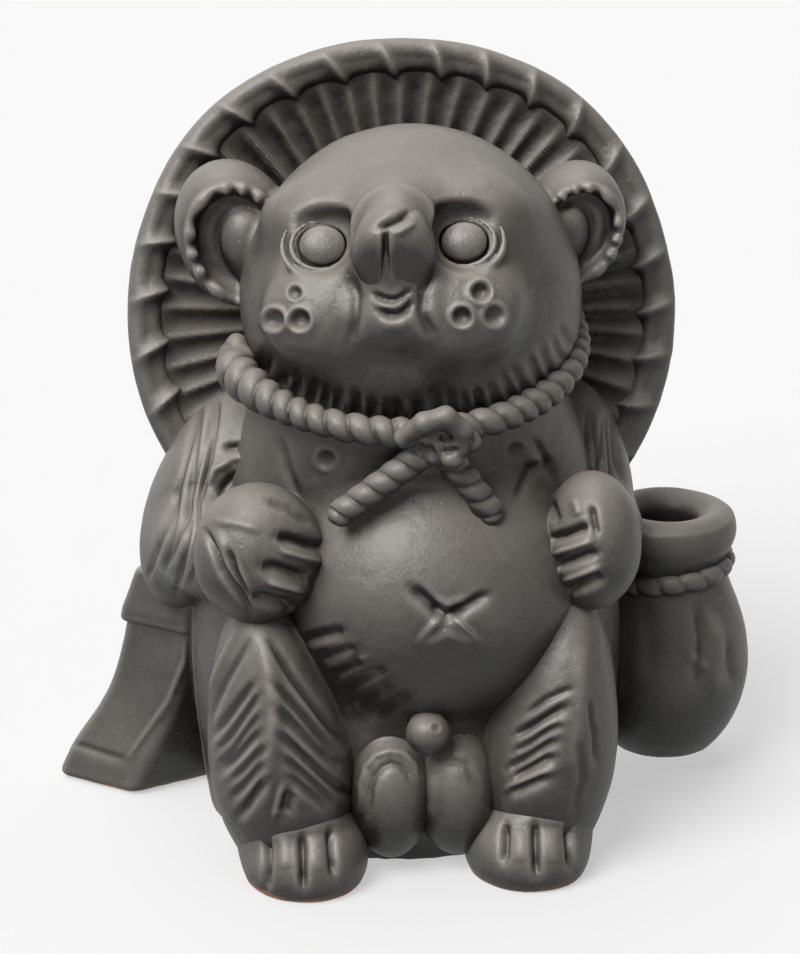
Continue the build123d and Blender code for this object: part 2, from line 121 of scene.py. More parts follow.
def sculpt(name, low, high, cell, form, tooling=None):
    """A closed mesh of the clay whose depth is form, with its tool marks raised or pressed in.

    low, high and cell are in millimetres. tooling gives a height at each point of the surface. The
    mesh's edge attribute is 0.5 on flat clay, more on an edge and less in a hollow; the finishes read it
    for glaze wear and for a painted highlight on the edges."""
    step, settle_rounds, edge_mask_rounds = 0.1, 2, 4
    lump_high, lump_size, pimple_high, pimple_size = 0.14, 8.0, 0.05, 2.7
    low = np.array(low, np.float32)
    axes = [np.arange(a, b + cell, cell, dtype=np.float32) for a, b in zip(low, high)]
    sparse = np.meshgrid(*axes, indexing="ij", sparse=True)
    depth = np.broadcast_to(form(sparse), [len(a) for a in axes])
    grid = openvdb.FloatGrid(float(depth.max()))
    grid.copyFromArray(np.array(depth, np.float32, order="C"))
    points, quads = grid.convertToQuads(0.0)
    points = points.astype(float) * cell + low
    for _ in range(settle_rounds):
        here = form(points.T)
        slope = np.stack([
            (form((points + np.eye(3)[i] * step).T) - form((points - np.eye(3)[i] * step).T)) / (2 * step)
            for i in range(3)
        ], 1)
        size = np.linalg.norm(slope, axis=1) + 1e-6
        points -= slope * (np.clip(here / size, -cell / 2, cell / 2) / size)[:, None]
    facing = slope / size[:, None]
    uneven = lump_high * grain(points / lump_size) + pimple_high * grain(points / pimple_size)
    points += facing * uneven[:, None]
    if tooling:
        points += facing * tooling(points, facing)[:, None]
    a, b, c = (points[quads[:, i]] for i in range(3))
    if np.einsum("ij,ij->", np.cross(b - a, c - a), facing[quads[:, 0]]) < 0:
        quads = quads[:, ::-1]
    mesh = bpy.data.meshes.new(name)
    mesh.vertices.add(len(points))
    mesh.vertices.foreach_set("co", (points / 1000).astype(np.float32).ravel())
    mesh.loops.add(quads.size)
    mesh.loops.foreach_set("vertex_index", np.ascontiguousarray(quads, dtype=np.int32).ravel())
    mesh.polygons.add(len(quads))
    mesh.polygons.foreach_set("loop_start", np.arange(0, quads.size, 4, dtype=np.int32))
    mesh.update(calc_edges=True)
    mesh.polygons.foreach_set("use_smooth", np.ones(len(quads), bool))
    one, other = quads.ravel(), np.roll(quads, 1, axis=1).ravel()
    one, other = np.append(one, other), np.append(other, one)
    shares = np.bincount(one, minlength=len(points))
    run = points[other] - points[one]
    lean = np.einsum("ij,ij->i", run, facing[one]) / (np.linalg.norm(run, axis=1) + 1e-9)
    lean = np.bincount(one, lean, len(points)) / shares
    for _ in range(edge_mask_rounds):
        lean = np.bincount(one, lean[other], len(points)) / shares
    wear = mesh.attributes.new("wear", "FLOAT", "POINT")
    wear.data.foreach_set("value", (0.5 - lean / math.pi).astype(np.float32))
    piece = bpy.data.objects.new(name, mesh)
    bpy.context.scene.collection.objects.link(piece)
    return piece


class Signal:
    """A socket of a material's nodes that Python's own signs can reckon with."""

    def __init__(self, tree, socket=None):
        self.tree, self.socket = tree, socket

    def node(self, kind, settings=None, sockets=None, output=0):
        """Any node, its settings set first and then its sockets, given back by one output."""
        made = self.tree.nodes.new(kind)
        for key, value in (settings or {}).items():
            if key == "stops":
                ramp = made.color_ramp.elements
                while len(ramp) < len(value):
                    ramp.new(0.5)
                for stop, (place, shade) in zip(ramp, value):
                    stop.position, stop.color = place, (shade, shade, shade, 1)
            else:
                setattr(made, key, value)
        for key, value in (sockets or {}).items():
            if isinstance(value, Signal):
                self.tree.links.new(value.socket, made.inputs[key])
            else:
                made.inputs[key].default_value = value
        return Signal(self.tree, made.outputs[output])

    def reckon(self, operation, one, other):
        return self.node("ShaderNodeMath", {"operation": operation}, {0: one, 1: other})

    def __add__(self, other):
        return self.reckon("ADD", self, other)

    __radd__ = __add__

    def __sub__(self, other):
        return self.reckon("SUBTRACT", self, other)

    def __rsub__(self, other):
        return self.reckon("SUBTRACT", other, self)

    def __mul__(self, other):
        return self.reckon("MULTIPLY", self, other)

    __rmul__ = __mul__


def clay_finish(name, dark, pale_and_lit, rough, shine, bare=None):
    """Fired clay under a satin glaze that thins to a lighter tone on the edges and pools dark in the hollows,
    with a painted highlight on the edges, and with painted light that makes faces lighter the more they
    point up and darker the more they point down.

    bare is the height in metres below which the glaze was wiped off and the red clay shows."""
    finish = bpy.data.materials.new(name)
    finish.use_nodes = True
    tree = finish.node_tree
    shader = tree.nodes["Principled BSDF"]
    signal = Signal(tree)
    place = signal.node("ShaderNodeTexCoord", output="Object")
    red_under = (0.30, 0.105, 0.045, 1)

    def noise(scale, detail):
        return signal.node("ShaderNodeTexNoise", None, {"Vector": place, "Scale": scale, "Detail": detail})

    # The edge mask lightens edges and darkens hollows: partly the glaze thinning and pooling, partly a painted
    # highlight on the edges.
    edges = signal.node("ShaderNodeAttribute", {"attribute_name": "wear"}, output="Fac")
    wear_and_painted_highlight = signal.node("ShaderNodeValToRGB", {"stops": [(0.475, 0.0), (0.5, 0.28), (0.53, 1.0)]}, {0: edges})
    cloud, speck = noise(70.0, 4.0), noise(850.0, 2.0)
    peel, swell = noise(1500.0, 2.0), noise(420.0, 1.0)
    pits = signal.node("ShaderNodeTexVoronoi", None, {"Vector": place, "Scale": 260.0})
    pinholes = signal.node("ShaderNodeValToRGB", {"stops": [(0.05, 1.0), (0.12, 0.0)]}, {0: pits})
    # Painted light: faces that point up are painted toward the pale tone and faces that point down toward the
    # dark tone, as painted top light and painted underside shade.
    faces = signal.node("ShaderNodeNewGeometry", output="Normal")
    painted_top_light = signal.node("ShaderNodeSeparateXYZ", None, {0: faces}, output="Z")
    tone = wear_and_painted_highlight * 0.6 + cloud * 0.22 + speck * 0.16 + painted_top_light * 0.75 - 0.23
    colour = signal.node(
        "ShaderNodeMix", {"data_type": "RGBA"}, {"Factor": tone, 6: (*dark, 1), 7: (*pale_and_lit, 1)}, output=2
    )
    gloss = rough + (cloud - 0.5) * 0.16 + (speck - 0.5) * 0.1
    if bare is not None:
        height = signal.node("ShaderNodeSeparateXYZ", None, {0: place}, output="Z")
        line = (bare + (cloud - 0.5) * 0.006 + (speck - 0.5) * 0.002 - height) * 900.0
        wiped = signal.node("ShaderNodeClamp", None, {0: line})
        colour = signal.node(
            "ShaderNodeMix", {"data_type": "RGBA"},
            {"Factor": wiped, 6: colour, 7: red_under}, output=2,
        )
        gloss = gloss + wiped * 0.35
    tree.links.new(colour.socket, shader.inputs["Base Color"])
    tree.links.new(gloss.socket, shader.inputs["Roughness"])
    skin = signal.node(
        "ShaderNodeBump", None,
        {"Strength": 0.5, "Distance": 0.00035, "Height": peel * 0.55 + swell * 0.8 - pinholes * 0.6},
    )
    tree.links.new(skin.socket, shader.inputs["Normal"])
    shader.inputs["Specular IOR Level"].default_value = shine
    return finish


def settle(piece, finish, slot, *nodes):
    """Gives a piece its finish and its place in the figure."""
    piece.data.materials.append(finish)
    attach(piece, "root")
    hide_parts(*nodes)


def body_lines(z):
    """Half width, half depth and middle of the body's tube at a height."""
    heights = (0, 34, 86, 107)
    return [
        np.polyval(np.polyfit(heights, sizes, 3), np.clip(z, -2, 112))
        for sizes in ((46, 50, 43, 33.5), (38, 42, 38, 33.05), (4, 2, -1, -8))
    ]


def tube(p, grow=0.0):
    """Depth of the body's tapering tube."""
    x, y, z = p
    wide, deep, middle = body_lines(z)
    wide, deep, y = wide + grow, deep + grow, y - middle
    share = np.sqrt((x / wide) ** 2 + (y / deep) ** 2)
    return share * (share - 1) / (np.sqrt((x / wide ** 2) ** 2 + (y / deep ** 2) ** 2) + 1e-6)


vent_at, vent_radius, slab_high, slab_inset = (0.0, 20.0), 7.0, 6.0, 4.75


def slab_form(p):
    x, y, z = p
    flat = np.maximum(np.maximum(-z, z - slab_high), tube(p, -slab_inset))
    return carve(flat, np.sqrt((x - vent_at[0]) ** 2 + (y - vent_at[1]) ** 2) - vent_radius, 0.8)


slab = sculpt("floor_slab", (-46, -38, -1.5), (46, 46, 8), 0.8, slab_form)
red_clay = clay_finish("bare_red_clay", (0.20, 0.075, 0.035), (0.36, 0.15, 0.075), 0.82, 0.2)
settle(slab, red_clay, "bare_clay", "base_slab")


# Body shells
# Two hollow halves of red clay, thrown together as one tapering tube, with a round belly pushed out
# of the front half. They are luted along the flanks and glazed dark.
belly_middle, belly_sizes = (3.0, -21.0, 64.0), (36.0, 34.0, 33.0)


def body(p):
    """Depth of the body with its belly."""
    return join(tube(p), egg(p, belly_middle, belly_sizes), 5.0)


def seen(points):
    """Where points of the figure, in millimetres, fall in the picture."""
    ray = points - view_eye
    depth = ray @ -view_back
    across = picture_wide / 2 + pixels_at_unit * (ray @ view_right) / depth
    down = picture_high / 2 - pixels_at_unit * (ray @ view_up) / depth
    return np.stack([across, down], 1)


def press(points, facing, marks, dents=()):
    """Heights of tool marks that are placed by where they fall in the picture.

    A mark is a path, a half width in pixels and a height in millimetres, below zero for a groove.
    A dent is a middle, a radius in pixels and a height, with a raised lip round it."""
    spot = seen(points)
    height = np.zeros(len(points))
    for path, wide, high in marks:
        path = np.array(path, float)
        near = np.all((spot > path.min(0) - 3 * wide) & (spot < path.max(0) + 3 * wide), axis=1)
        if not near.any():
            continue
        here, best, along = spot[near], np.full(near.sum(), 1e9), np.zeros(near.sum())
        runs = np.linalg.norm(np.diff(path, axis=0), axis=1)
        for a, b, run, before in zip(path, path[1:], runs, np.cumsum(runs) - runs):
            t = np.clip((here - a) @ (b - a) / run ** 2, 0, 1)
            away = np.linalg.norm(here - a - t[:, None] * (b - a), axis=1)
            along = np.where(away < best, (before + t * run) / runs.sum(), along)
            best = np.minimum(away, best)
        swell = np.clip(5 * along * (1 - along) + 0.12, 0, 1) ** 0.7
        height[near] += high * swell * np.exp(-(best / wide) ** 2)
    for middle, radius, high in dents:
        away = np.linalg.norm(spot - np.array(middle), axis=1) / radius
        height += high * (np.exp(-away ** 4) - 0.32 * np.exp(-((away - 1.35) / 0.3) ** 2))
    return height * np.clip((facing @ view_back) * 5 - 0.2, 0, 1)


def comb(first, last, count, wide, high, stray=0.0):
    """A row of like marks, each from a point of the first line to the same share of the last.

    stray lets each mark wander by this many pixels and vary in depth, as strokes cut by hand do."""
    rows, wander = [], np.random.default_rng(count)
    for line in (first, last):
        line = np.array(line, float)
        runs = np.append(0, np.cumsum(np.linalg.norm(np.diff(line, axis=0), axis=1)))
        share = (np.arange(count) + 0.5) / count * runs[-1]
        row = np.stack([np.interp(share, runs, line[:, i]) for i in range(2)], 1)
        rows.append(row + stray * wander.uniform(-1, 1, row.shape))
    rows[1] = rows[0] + (rows[1] - rows[0]) * (1 + 0.06 * stray * wander.uniform(-1, 0.6, (count, 1)))
    depths = high * (1 + 0.06 * stray * wander.uniform(-1, 1, count))
    return [([tuple(a), tuple(b)], wide, depth) for a, b, depth in zip(*rows, depths)]


belly_marks = [
    ([(412, 588), (447, 618)], 5.5, -2.2), ([(488, 594), (447, 618)], 5, -2.0),
    ([(418, 642), (447, 611), (480, 642)], 3, 1.1), ([(424, 646), (448, 634), (474, 644)], 6, 0.7),
    ([(430, 610), (447, 614), (465, 610)], 6, -1.4), ([(432, 600), (447, 606), (468, 598)], 4, 0.5),
    ([(280, 438), (288, 470), (300, 502)], 5, -0.7), ([(352, 492), (400, 482), (452, 484)], 6, 0.5),
    *comb(
        [(300, 632), (324, 672), (354, 708), (378, 724)], [(338, 622), (364, 656), (398, 684), (420, 698)],
        6, 5.5, -1.2, 2,
    ),
    *comb([(310, 648), (331, 683), (356, 710)], [(346, 636), (372, 666), (400, 690)], 4, 3.5, 0.6, 2),
    ([(516, 500), (530, 470), (552, 462)], 5, -0.8), ([(534, 440), (548, 462), (552, 480)], 5, -0.7),
]
chest_dents = [((326, 460), 8, -0.55), ((516, 452), 8, -0.4)]


def belly_tooling(points, facing):
    return press(points, facing, belly_marks, chest_dents)


seam_gap, neck_high = 0.02, 110


def body_half(p, cut):
    """Depth of the body between the floor and the neck, on one side of the seam."""
    return np.maximum(np.maximum(body(p), cut), np.maximum(-p[2], p[2] - neck_high))


front = sculpt(
    "front_body", (-53, -60, -1.5), (53, 1, 113), 0.63,
    lambda p: body_half(p, p[1] + seam_gap), belly_tooling,
)
back = sculpt("back_body", (-53, -1, -1.5), (53, 47, 113), 0.8, lambda p: body_half(p, seam_gap - p[1]))
# The pale tone stands both for paler glaze and for the painted top light and painted edge highlight.
glaze_dark, pale_glaze_and_painted_light = (0.0100, 0.0086, 0.0072), (0.235, 0.213, 0.188)
body_glaze = clay_finish("body_glaze", glaze_dark, pale_glaze_and_painted_light, 0.45, 0.55, 0.0006)
settle(front, body_glaze, "body_glaze", "front_body_shell")
settle(back, body_glaze, "body_glaze", "back_body_shell")

# Legs and feet
# Solid rolls of clay with the knees drawn up on both sides of the belly, luted to the body, and a pad
# for each foot. Fur is combed down both sides of a ridge, and the toes are cut with a stick.
leg_out, leg_y, leg_high, leg_sizes, leg_splay = 31.0, -32.0, 30.0, (17.5, 20.0, 36.0), 8.0
foot_out, foot_y, foot_high, foot_sizes = 25.5, -39.0, 5.0, (14.5, 17.0, 12.5)
legs_shift, knee_taper, knee_start, knee_soft = -2.0, 0.005, 6, 140


def lute(own, carrier, soft):
    """A piece with the slip fillet that runs from it on to the piece that carries it, and dives into that."""
    sink, dive, skirt = 0.2, 0.45, 0.4
    sunk = carrier + sink + dive * np.maximum(own, 0)
    return np.maximum(join(own, sunk, soft), own - soft - skirt)


def leg(p, side):
    x, y, z = turned(p, (side * leg_out + legs_shift, leg_y, leg_high), (0, side * leg_splay, 0))
    rise = z + knee_start + np.sqrt((z + knee_start) ** 2 + knee_soft)
    return egg((x * (1 + knee_taper * rise), y, z), (0, 0, 0), leg_sizes)


def foot(p, side):
    return egg(p, (side * foot_out + legs_shift, foot_y, foot_high), foot_sizes)


leg_marks = {
    -1: [
        ([(262, 636), (272, 684), (275, 715), (268, 755), (262, 790)], 9, 1.0),
        ([(283, 784), (274, 818)], 3, 0.8),
        ([(236, 629), (219, 667), (201, 707), (196, 740), (196, 765)], 3.5, 0.8),
        ([(247, 642), (224, 682), (209, 715), (205, 750)], 4, -1.1),
        *comb(
            [(250, 672), (258, 702), (264, 740), (268, 788)], [(210, 730), (214, 757), (220, 788), (242, 820)],
            7, 4.8, -1.5, 3,
        ),
        ([(270, 642), (297, 682), (328, 722), (345, 744)], 4, -1.5),
        ([(274, 682), (297, 707), (340, 752)], 4.5, -1.5),
        ([(276, 707), (297, 725), (344, 768)], 7, -1.8), ([(280, 734), (305, 757), (348, 796)], 5, -1.6),
        ([(284, 758), (308, 778), (338, 804)], 5, -1.4), ([(289, 776), (312, 794), (330, 808)], 4.5, -1.3),
        ([(290, 792), (284, 814)], 6, -1.4),
    ],
    1: [
        ([(584, 645), (581, 700), (574, 770)], 9, 1.0), ([(589, 700), (596, 735), (597, 765)], 3.5, -0.9),
        ([(578, 738), (584, 780), (576, 812)], 5, -0.8), ([(572, 688), (545, 700), (526, 714)], 4, -0.9),
        *comb(
            [(566, 696), (564, 716), (558, 746), (548, 784)], [(514, 730), (512, 748), (507, 774), (510, 802)],
            5, 4.8, -1.7, 2,
        ),
        ([(569, 720), (544, 728), (518, 746)], 4, 0.7), ([(556, 768), (530, 779), (504, 790)], 3.5, 0.6),
    ],
}
foot_marks = {
    -1: [
        ([(267, 834), (266, 888)], 4, -1.9), ([(302, 836), (303, 890)], 4, -2.1),
        ([(330, 830), (334, 876)], 4, -1.9), ([(258, 838), (300, 830), (344, 822)], 7, 0.5),
        ([(284, 836), (284, 870)], 7, 0.5), ([(316, 834), (318, 872)], 7, 0.5),
    ],
    1: [
        ([(506, 824), (504, 862)], 4, -1.9), ([(535, 824), (537, 876)], 4, -2.1),
        ([(568, 822), (572, 868)], 4, -1.9), ([(498, 822), (540, 819), (582, 824)], 7, 0.5),
        ([(520, 828), (521, 862)], 7, 0.5), ([(552, 828), (554, 864)], 7, 0.5),
    ],
}
limb_glaze = clay_finish("limb_glaze", glaze_dark, pale_glaze_and_painted_light, 0.46, 0.55, 0.0012)
for word, side in (("left", -1), ("right", 1)):
    leg_x, foot_x = side * leg_out + legs_shift, side * foot_out + legs_shift
    thigh = sculpt(
        f"{word}_thigh", (leg_x - 26, -56, -1.5), (leg_x + 26, -8, 69), 0.45,
        lambda p: np.maximum(lute(leg(p, side), body(p), 2.5), -p[2]),
        lambda points, facing: press(points, facing, leg_marks[side]),
    )
    pad = sculpt(
        f"{word}_foot_pad", (foot_x - 18, -59, -1.5), (foot_x + 18, -20, 21), 0.4,
        lambda p: np.maximum(lute(foot(p, side), leg(p, side), 3.0), -p[2]),
        lambda points, facing: press(points, facing, foot_marks[side]),
    )
    settle(thigh, limb_glaze, "limb_glaze", f"{word}_leg")
    settle(pad, limb_glaze, "limb_glaze", f"{word}_foot")

# Pouch
# Two round lobes of clay between the feet and a small ball over them, luted to the body. The left
# lobe keeps the rim that the thumb left round it.
lobe_out, lobe_y, lobe_high, lobe_sizes = 7.6, -36.2, 18.0, (9.4, 11.6, 15.4)
lobe_marks = {
    -1: [
        ([(360, 812), (361, 785), (366, 767), (376, 756), (390, 751), (404, 754), (414, 764), (419, 778)],
         3.5, 0.7),
        ([(369, 812), (370, 790), (374, 776), (382, 767), (391, 763), (401, 766), (408, 774), (412, 786)],
         4, -0.8),
    ],
    1: [([(432, 775), (432, 820)], 6, 0.4), ([(444, 760), (466, 764), (476, 790)], 5, -0.5)],
}
lobe_gap = 0.05


def lobe_form(p, side):
    lobe = egg(p, (side * lobe_out, lobe_y, lobe_high), lobe_sizes)
    return np.maximum(lute(lobe, body(p), 1.5), -side * p[0] + lobe_gap)


for word, side in (("left", -1), ("right", 1)):
    lobe = sculpt(
        f"{word}_lobe", (side * lobe_out - 12, -50, 1), (side * lobe_out + 12, -22, 36), 0.35,
        lambda p: lobe_form(p, side),
        lambda points, facing: press(points, facing, lobe_marks[side]),
    )
    settle(lobe, body_glaze, "body_glaze", f"pouch_{word}")
knob_at, knob_radius = (0.0, -45.0, 36.0), 5.0
knob = sculpt(
    "knob_ball", (-7, -52, 29), (7, -37, 43), 0.3,
    lambda p: lute(egg(p, knob_at, (knob_radius, knob_radius, knob_radius)), body(p), 1.0),
    lambda points, facing: press(points, facing, [], [((436, 728), 4, -0.3)]),
)
settle(knob, body_glaze, "body_glaze", "pouch_knob")

# Arms and paws
# Upper arms along the flanks with the forearms reaching forward, and mitten paws laid on the belly.
# They are solid clay, luted on, with fur combed down the arms and the fingers cut with a knife.
arm_sizes, fore_sizes = (13.0, 18.0, 27.0), (11.5, 23.0, 12.0)
arm_places = {-1: (-46.0, 22.0), 1: (40.0, 8.0)}
paw_places = {-1: (-37.0, -35.0, 77.0), 1: (38.0, -35.0, 77.0)}
paw_sizes = {-1: (14.5, 13.5, 16.0), 1: (11.0, 13.5, 16.0)}


def arm(p, side):
    out, lean = arm_places[side]
    upper = egg(p, (out, 3.0, 76.0), arm_sizes, (0, -side * lean, 0))
    fore = egg(p, (out, -17.0, 72.0), fore_sizes, (-14.0, 0, -side * 22.0))
    return join(upper, fore, 3.0)


def paw(p, side):
    return egg(p, paw_places[side], paw_sizes[side])


arm_marks = {
    -1: [
        ([(219, 496), (230, 482), (240, 474)], 6, -1.6), ([(248, 492), (262, 480), (284, 494)], 6.5, -1.6),
        ([(236, 496), (244, 480), (258, 470)], 4, 0.8),
        ([(224, 448), (246, 446), (260, 460)], 4, -1.1), ([(232, 458), (248, 458), (256, 468)], 4, 0.7),
        ([(206, 486), (214, 470), (232, 460)], 4, 0.8), ([(262, 500), (276, 504)], 4, -0.8),
        *comb([(196, 410), (208, 405), (224, 402)], [(168, 520), (184, 540), (206, 500)], 6, 3, -0.9, 4),
        *comb([(172, 490), (188, 500), (204, 512)], [(150, 566), (172, 586), (198, 590)], 6, 3, -0.9, 4),
    ],
    1: [
        *comb([(584, 412), (604, 416), (622, 416)], [(590, 478), (610, 490), (628, 486)], 6, 3, -0.9, 4),
        ([(552, 470), (576, 464), (600, 478)], 4, -1.3), ([(560, 482), (580, 478), (600, 488)], 4, 0.7),
    ],
}
paw_marks = {
    -1: [
        ([(278, 536), (300, 541), (324, 549)], 6, -2.6), ([(282, 551), (300, 557), (320, 562)], 3, 1.0),
        ([(262, 566), (285, 572), (310, 580)], 7, -2.6), ([(268, 582), (290, 588), (304, 592)], 3.5, 1.1),
        ([(252, 598), (275, 604), (297, 608)], 7, -2.2),
        ([(206, 530), (222, 570), (252, 614)], 3.5, -1.6), ([(228, 550), (236, 572), (246, 596)], 3.5, -1.5),
        ([(216, 530), (230, 560), (248, 588)], 5, 0.6), ([(268, 500), (290, 508), (312, 525)], 5, -1.0),
        ([(214, 520), (240, 524), (262, 530)], 5, 0.5),
    ],
    1: [
        ([(548, 498), (556, 522)], 5, -1.3), ([(550, 540), (588, 526)], 5, -2.1),
        ([(554, 554), (592, 541)], 3.2, 0.9), ([(556, 567), (598, 552)], 5, -2.1),
        ([(563, 581), (602, 566)], 3.2, 0.9), ([(566, 593), (604, 577)], 5.5, -2.1),
        ([(592, 506), (597, 535)], 3.5, -1.2), ([(574, 498), (580, 516)], 5, 0.6),
    ],
}
for word, side in (("left", -1), ("right", 1)):
    out = arm_places[side][0]
    sleeve = sculpt(
        f"{word}_sleeve", (out - 27, -43, 44), (out + 27, 24, 107), 0.45,
        lambda p: lute(arm(p, side), body(p), 2.5),
        lambda points, facing: press(points, facing, arm_marks[side]),
    )
    paw_x, paw_wide = paw_places[side][0], paw_sizes[side][0]
    hand = sculpt(
        f"{word}_mitten", (paw_x - paw_wide - 4, -51, 58), (paw_x + paw_wide + 4, -14, 96), 0.35,
        lambda p: lute(paw(p, side), np.minimum(body(p), arm(p, side)), 1.5),
        lambda points, facing: press(points, facing, paw_marks[side]),
    )
    settle(sleeve, limb_glaze, "limb_glaze", f"{word}_arm")
    settle(hand, limb_glaze, "limb_glaze", f"{word}_paw")

# Brush tail
# A short thick tail, a roll of clay luted low on the back and combed downwards.
brush_at, brush_sizes = (0.0, 44.0, 22.0), (12.0, 10.0, 20.0)
stroke_count, stroke_high = 22, 0.45


def brush_tooling(points, facing):
    around = np.arctan2(points[:, 0], points[:, 1] - 40.0)
    strokes = np.cos(around * stroke_count + 1.5 * np.sin(points[:, 2] / 5))
    return stroke_high * strokes * np.clip((points[:, 1] - 44) / 3, 0, 1)


brush = sculpt(
    "tail_brush", (-15, 30, -1), (15, 57, 45), 0.45,
    lambda p: np.maximum(lute(egg(p, brush_at, brush_sizes), body(p), 2.5), -p[2]), brush_tooling,
)
settle(brush, limb_glaze, "limb_glaze", "brush_tail")

# Head
# A hollow ball of clay luted on the neck, turned to the left and looking up, with the muzzle, the brows
# and the lids pressed on while wet. Dimples and the jaw's fringe are cut with a stick.
head_low, head_top = (np.array(corner) * 1000 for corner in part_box("head_shell"))
head_sizes = (38.5, 38.0, 39.5)
head_middle = np.array([
    (head_low[0] + head_top[0]) / 2, head_top[1] - head_sizes[1], head_top[2] - head_sizes[2],
])
head_foot = 105.5
face = np.array(
    Matrix.Rotation(math.radians(-12), 3, "Z")
    @ Matrix.Rotation(math.radians(60), 3, "X")
    @ Matrix.Rotation(math.radians(3), 3, "Z")
)
face_turn = [math.degrees(angle) for angle in Matrix(face.tolist()).to_euler("ZYX")]


def on_face(across, up, proud):
    """A point over the face, in the face's own axes."""
    reach = math.sqrt(head_sizes[0] ** 2 - across ** 2 - up ** 2) + proud
    return head_middle + face @ np.array([across, up, reach])


eye_places = [(np.array(a) + np.array(b)) * 500 for a, b in (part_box("left_eye"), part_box("right_eye"))]
eye_shift = 0.8
cheek_places = (-18.0, 15.0)
brow_sizes, cheek_sizes, chin_sizes = (10.0, 6.2, 6.8), (11.5, 10.5, 7.4), (11.5, 8.5, 7.6)
muzzle_sizes, bridge_radius, bridge_thick = (9.6, 12.6, 13.6), 9.0, 1.3
bowl_sizes, hollow_sizes, socket_sizes = (8.6, 8.0, 5.2), (6.6, 3.4, 3.8), (5.5, 5.1, 5.0)
lid_reach, bag_reach = 5.9, 7.9


def head(p):
    """Depth of the head with brows, cheeks, chin, muzzle, eye sockets, lids and the bags under the eyes."""
    skull = egg(p, head_middle, head_sizes)
    for across in cheek_places:
        skull = join(skull, egg(p, on_face(across * 1.1, 14.0, -6.9), brow_sizes, face_turn), 9.0)
        skull = join(skull, egg(p, on_face(across - 0.2, -9.5, -4.6), cheek_sizes, face_turn), 7.0)
    skull = join(skull, egg(p, on_face(-0.5, -10.5, -4.4), chin_sizes, face_turn), 3.0)
    skull = join(skull, egg(p, on_face(0, 5.6, -4.5), muzzle_sizes, face_turn), 6.5)
    q = turned(p, on_face(0, 5.6, 2.0), face_turn)
    bridge = np.sqrt((np.sqrt(q[0] ** 2 + q[1] ** 2) - bridge_radius) ** 2 + q[2] ** 2)
    skull = join(skull, bridge - bridge_thick * np.clip(q[1] / 8, 0, 1), 2.5)
    for side, place in zip((-1, 1), eye_places):
        q = turned(p, place, face_turn)
        across = q[0] - side * eye_shift
        ring = np.sqrt(across ** 2 + (q[1] * 1.1) ** 2)
        below = np.clip(0.5 + (0.6 * side * across - 0.8 * q[1]) / (2 * ring + 0.1), 0, 1)
        lid = np.sqrt((ring - lid_reach) ** 2 + (q[2] - 1.0 - below) ** 2)
        bag = np.sqrt((ring - bag_reach) ** 2 + (q[2] - 1.6) ** 2)
        skull = carve(skull, egg(q, (side * eye_shift, 0.8, 5.2), bowl_sizes), 2.0)
        skull = carve(skull, egg(q, (side * eye_shift, 5.2, 3.4), hollow_sizes), 2.5)
        skull = join(skull, lid - 0.2 - 0.55 * below, 0.6)
        skull = join(skull, bag - 1.5 * below + 0.6, 0.8)
        skull = carve(skull, egg(q, (0, 0, 1.0), socket_sizes), 0.3)
    return skull


jaw_top = [
    (256, 344), (282, 364), (326, 384), (366, 394), (406, 398), (450, 392), (502, 374), (542, 346), (562, 318),
]
jaw_foot = [
    (240, 384), (266, 404), (312, 424), (354, 434), (400, 440), (452, 434), (510, 416), (556, 386), (582, 344),
]
face_marks = [
    ([(350, 276), (356, 296), (354, 318), (350, 342)], 6, -1.3),
    ([(434, 272), (424, 292), (422, 312), (434, 338)], 6, -1.3),
    ([(374, 294), (380, 297), (388, 300), (396, 300), (404, 296), (410, 290)], 3.0, -1.4),
    ([(376, 303), (386, 307), (396, 307), (408, 299)], 3.2, 0.8),
    ([(380, 310), (388, 314), (396, 315), (405, 311), (413, 300)], 4.2, -1.6),
    ([(380, 321), (390, 325), (400, 324), (410, 318)], 5, 0.4),
    *comb(jaw_top, jaw_foot, 23, 4.6, -0.95, 5),
]
cheek_dents = [
    ((295, 293), 6, -1.0), ((274, 320), 9, -1.7), ((300, 320), 9, -1.7),
    ((481, 292), 8.5, -1.7), ((462, 317), 8.5, -1.7), ((495, 316), 9, -1.1),
]


def face_tooling(points, facing):
    return press(points, facing, face_marks, cheek_dents)


skull = sculpt(
    "head", head_middle - (42, 56, 24), head_middle + (42, 42, 43), 0.525,
    lambda p: np.maximum(head(p), head_foot - p[2]), face_tooling,
)
head_glaze = clay_finish("head_glaze", glaze_dark, pale_glaze_and_painted_light, 0.44, 0.55)
settle(skull, head_glaze, "head_glaze", "head_shell")

# Eyes
# Pellets of clay pressed flat into the sockets behind the lids.
pellet_proud, pellet_sizes = 1.3, (5.0, 4.5, 2.0)
eye_glaze = clay_finish("eye_glaze", glaze_dark, pale_glaze_and_painted_light, 0.42, 0.6)
for word, place in zip(("left", "right"), eye_places):
    pellet = sculpt(
        f"{word}_eye_pellet", place - 7, place + 7, 0.3,
        lambda p: egg(p, place + face @ np.array([0, 0, pellet_proud]), pellet_sizes, face_turn),
    )
    settle(pellet, eye_glaze, "eye_glaze", f"{word}_eye")

# Nose
# A blunt wedge of clay luted on the end of the muzzle, its front face cut back below and scored with
# a T.
nose_at, nose_sizes = on_face(0, 1.0, 3.8), (9.2, 10.8, 8.4)


def nose_form(p):
    lump = egg(p, nose_at, nose_sizes, face_turn)
    q = turned(p, nose_at, face_turn)
    cut = 0.58 * q[2] - 0.78 * q[1] + 0.06 * np.abs(q[0]) - 4.4
    return lute(carve(lump, -cut, 3.4), head(p), 1.2)


nose_marks = [
    ([(378, 227), (396, 219), (412, 211)], 4, -1.9), ([(385, 229), (385, 256), (386, 286)], 3.2, -1.8),
    ([(396, 234), (414, 224)], 3, 0.7),
]
nose = sculpt(
    "nose_wedge", nose_at - 13, nose_at + 13, 0.35, nose_form,
    lambda points, facing: press(points, facing, nose_marks),
)
settle(nose, head_glaze, "head_glaze", "nose")

